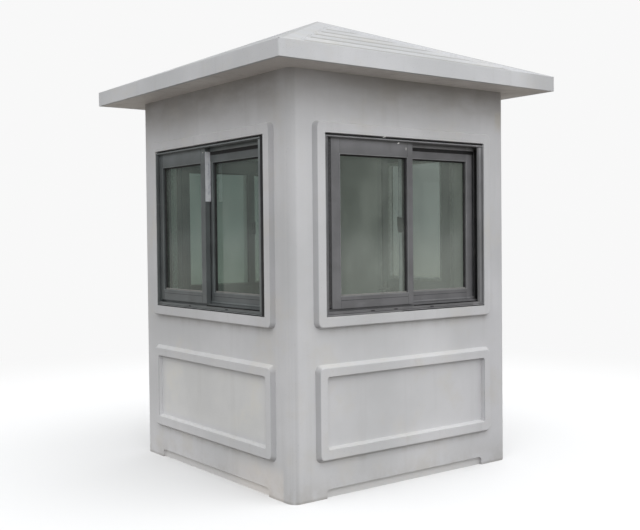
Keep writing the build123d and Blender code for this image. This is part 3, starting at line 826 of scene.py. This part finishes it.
# keyway and screw slots drawn as black marks: painted shadow for the holes
slot = Builder("door_lock_slots_painted_shadow", SLOT, "latch_grey", "door")
for yy, sg in ((LEAF_F - 0.007, -1.0), (LEAF_B + 0.007, 1.0)):
    cy.disc("right", hu, 0.873, 0.0085, yy, yy + sg * 0.004, 24)
    cy.slab("right", pill(hu, 0.862, 0.0050, 0.0050), yy, yy + sg * 0.0038, 0.0005)
    cy.block("right", hu - 0.005, hu + 0.005, min(yy, yy + sg * 0.0038), max(yy, yy + sg * 0.0038), 0.862, 0.869, 0.0004, 1)
    slot.block("right", hu - 0.0008, hu + 0.0008, min(yy + sg * 0.0035, yy + sg * 0.0043), max(yy + sg * 0.0035, yy + sg * 0.0043), 0.8680, 0.8775, 0.0002, 1)
    for zz in (0.856, 0.974):
        cy.disc("right", hu, zz, 0.0034, yy + 0.0002 * sg, yy + sg * 0.0016, 14)
        slot.block("right", hu - 0.0026, hu + 0.0026, min(yy + sg * 0.0013, yy + sg * 0.0019), max(yy + sg * 0.0013, yy + sg * 0.0019), zz - 0.0004, zz + 0.0004, 0.0001, 1)
cy.make()
slot.make()
# screws in the hinge leaves
for half, body in (("fixed", "booth"), ("moving", "door")):
    sc = Builder("door_hinge_screws_" + half, STEEL, "steel", body)
    for which in ("lower", "upper"):
        hb = local_box("right", "door_hinge_%s_%s" % (which, half))
        mid = (hb[4] + hb[5]) / 2
        uu = (hb[0] + 0.006) if half == "fixed" else (hb[1] - 0.012)
        face = -WALL_F - 0.0035 if half == "fixed" else LEAF_F - 0.0035
        for dz in (-0.036, 0.0, 0.036):
            sc.disc("right", uu, mid + dz, 0.0030, face - 0.0012, face + 0.0004, 14)
    sc.make()
# stop and seal round the doorway, on the room side of the leaf
F = local_box("right", "door_frame")
inner = (L[0] - 0.006, L[1] + 0.006, L[4] - 0.0055, L[5] + 0.007)
st = Builder("door_stop", PVC, "wall_composite")
st.ring("right", inner, [(0.0, LEAF_B + 0.004), (0.012, LEAF_B + 0.004), (0.014, LEAF_B + 0.006), (0.014, LEAF_B + 0.012),
                         (0.012, LEAF_B + 0.014), (0.0, LEAF_B + 0.014)])
st.make()
sl = Builder("door_stop_seal", RUBBER, "latch_grey")
sl.ring("right", inner, [(0.006, LEAF_B + 0.0042), (0.0065, LEAF_B + 0.0012), (0.0085, LEAF_B + 0.0006), (0.0105, LEAF_B + 0.0012), (0.011, LEAF_B + 0.0042)])
sl.make()
# ribbed sill plate, in the painted-lit aluminium
T = local_box("right", "door_threshold")
sp = Builder("door_sill_plate", METAL_LIT, "window_metal")
sp.block("right", F[0] + 0.0225, F[1] - 0.0225, T[2] - 0.004, T[3] - 0.001, T[5] - 0.0002, T[5] + 0.0018, 0.0007, 2)
sp.block("right", F[0] + 0.0225, F[1] - 0.0225, T[2] - 0.004, T[2] - 0.0002, T[5] - 0.018, T[5] + 0.0016, 0.0007, 2)
for i in range(5):
    yy = T[2] + 0.006 + i * 0.0085
    sp.block("right", F[0] + 0.026, F[1] - 0.026, yy, yy + 0.0030, T[5] + 0.0014, T[5] + 0.0026, 0.0005, 2)
sp.make()

# ------------------------------------------------- casing round the windows inside
for side in ("front", "left", "back"):
    fu0, fu1, fy0, fy1, fz0, fz1 = FRAME[side]
    cs = Builder(side + "_window_inside_casing", PVC, "wall_composite")
    yi = -WALL_IN
    cs.ring(side, (fu0 - 0.030, fu1 + 0.030, fz0 - 0.030, fz1 + 0.030),
            [(0.0, yi - 0.0004), (0.0, yi + 0.005), (0.002, yi + 0.007), (0.020, yi + 0.008), (0.029, yi + 0.006),
             (0.031, yi + 0.003), (0.031, yi - 0.012), (0.0305, yi - 0.0125), (0.030, yi - 0.0004)])
    cs.make()

# ---------------------------------------------------------------------- stage
def stage_floor():
    bm = bmesh.new()
    bmesh.ops.create_circle(bm, cap_ends=True, cap_tris=False, segments=96, radius=60.0)
    me = bpy.data.meshes.new("studio_floor")
    bm.to_mesh(me)
    bm.free()
    ob = bpy.data.objects.new("studio_floor", me)
    scene.collection.objects.link(ob)
    m = Mat("studio_floor")
    P = m.pos()
    x, y, z = m.split(P)
    r = m.math("SQRT", m.add(m.mul(x, x), m.mul(y, y)))
    far = m.rng(r, 1.6, 5.5)
    d = m.n("ShaderNodeBsdfDiffuse")
    m.put(d.inputs[0], (0.85, 0.85, 0.85))
    e = m.n("ShaderNodeEmission")
    m.put(e.inputs["Color"], (1, 1, 1))
    m.put(e.inputs["Strength"], 0.94)
    mx = m.n("ShaderNodeMixShader")
    m.put(mx.inputs[0], far)
    m.t.links.new(d.outputs[0], mx.inputs[1])
    m.t.links.new(e.outputs[0], mx.inputs[2])
    me.materials.append(m.done(mx.outputs[0]))
    ob.visible_diffuse = False
    ob.visible_glossy = False
    ob.visible_transmission = False
    ob.visible_shadow = False
    return ob


def stage_dome(name, radius, gloss, through=False):
    """The pale backdrop, or a muted surround that only shows as reflections."""
    bm = bmesh.new()
    bmesh.ops.create_uvsphere(bm, u_segments=48, v_segments=24, radius=radius)
    me = bpy.data.meshes.new(name)
    bm.to_mesh(me)
    bm.free()
    ob = bpy.data.objects.new(name, me)
    scene.collection.objects.link(ob)
    m = Mat(name)
    e = m.n("ShaderNodeEmission")
    if gloss:
        x, y, z = m.split(m.pos())
        h = m.math("DIVIDE", z, radius)
        v = m.rng(h, 0.010, 0.045, 0.66, 0.27)
        v = m.math("MAXIMUM", v, m.rng(h, 0.15, 0.80, 0.27, 1.0))
        if through:
            px, py, pz = m.split(m.pos())
            v = m.mul(m.rng(h, -0.3, 0.3, 0.235, 0.19), m.rng(m.math("DIVIDE", py, radius), 0.70, 0.95, 1.0, 0.62))
        blur = m.noise(1.0, 2.0, 0.5, vec=m.scaled(m.pos(), (5.0 / radius, 5.0 / radius, 9.0 / radius)))
        v = m.mul(v, m.rng(blur, 0.3, 0.7, 0.72, 1.25))
        m.put(e.inputs["Color"], m.mix(m.rng(h, -0.05, 0.05), (1.0, 0.96, 0.90), (0.96, 0.98, 1.0)))
        m.put(e.inputs["Strength"], v)
    else:
        m.put(e.inputs["Color"], (1, 1, 1))
        m.put(e.inputs["Strength"], 0.94)
    me.materials.append(m.done(e.outputs[0]))
    ob.visible_diffuse = False
    ob.visible_shadow = False
    ob.visible_glossy = gloss and not through
    ob.visible_camera = not gloss
    ob.visible_transmission = through
    return ob


stage_floor()
stage_dome("studio_backdrop", 58.0, False)
stage_dome("studio_surround", 50.0, True)
stage_dome("studio_beyond", 48.0, True, True)

# ---------------------------------------------------------------------- light
w = Mat("studio_light", world=True)
g = w.n("ShaderNodeTexCoord").outputs["Generated"]
gx, gy, gz = w.split(g)
above = w.rng(gz, -0.01, 0.01)


def soft_box(d, power):
    """A broad soft source in the sky towards d."""
    dot = w.n("ShaderNodeVectorMath", operation="DOT_PRODUCT")
    w.put(dot.inputs[0], g)
    dot.inputs[1].default_value = Vector(d).normalized()
    return w.mul(w.rng(dot.outputs["Value"], 0.3, 1.0), power)


sky = w.add(0.175, w.mul(gz, gz, 0.50))
sky = w.add(sky, soft_box((0.0, -0.77, 0.64), 1.14))
sky = w.add(sky, soft_box((0.85, 0.0, 0.53), 0.70))
sky = w.add(sky, soft_box((-0.77, 0.0, 0.64), 0.76))
bg_up = w.n("ShaderNodeBackground")
w.put(bg_up.inputs[0], (0.985, 0.992, 1.0))
w.put(bg_up.inputs[1], sky)
bg_dn = w.n("ShaderNodeBackground")
w.put(bg_dn.inputs[0], (1.0, 0.955, 0.91))
w.put(bg_dn.inputs[1], 0.19)
mx = w.n("ShaderNodeMixShader")
w.put(mx.inputs[0], above)
w.t.links.new(bg_dn.outputs[0], mx.inputs[1])
w.t.links.new(bg_up.outputs[0], mx.inputs[2])
scene.world = w.done(mx.outputs[0])
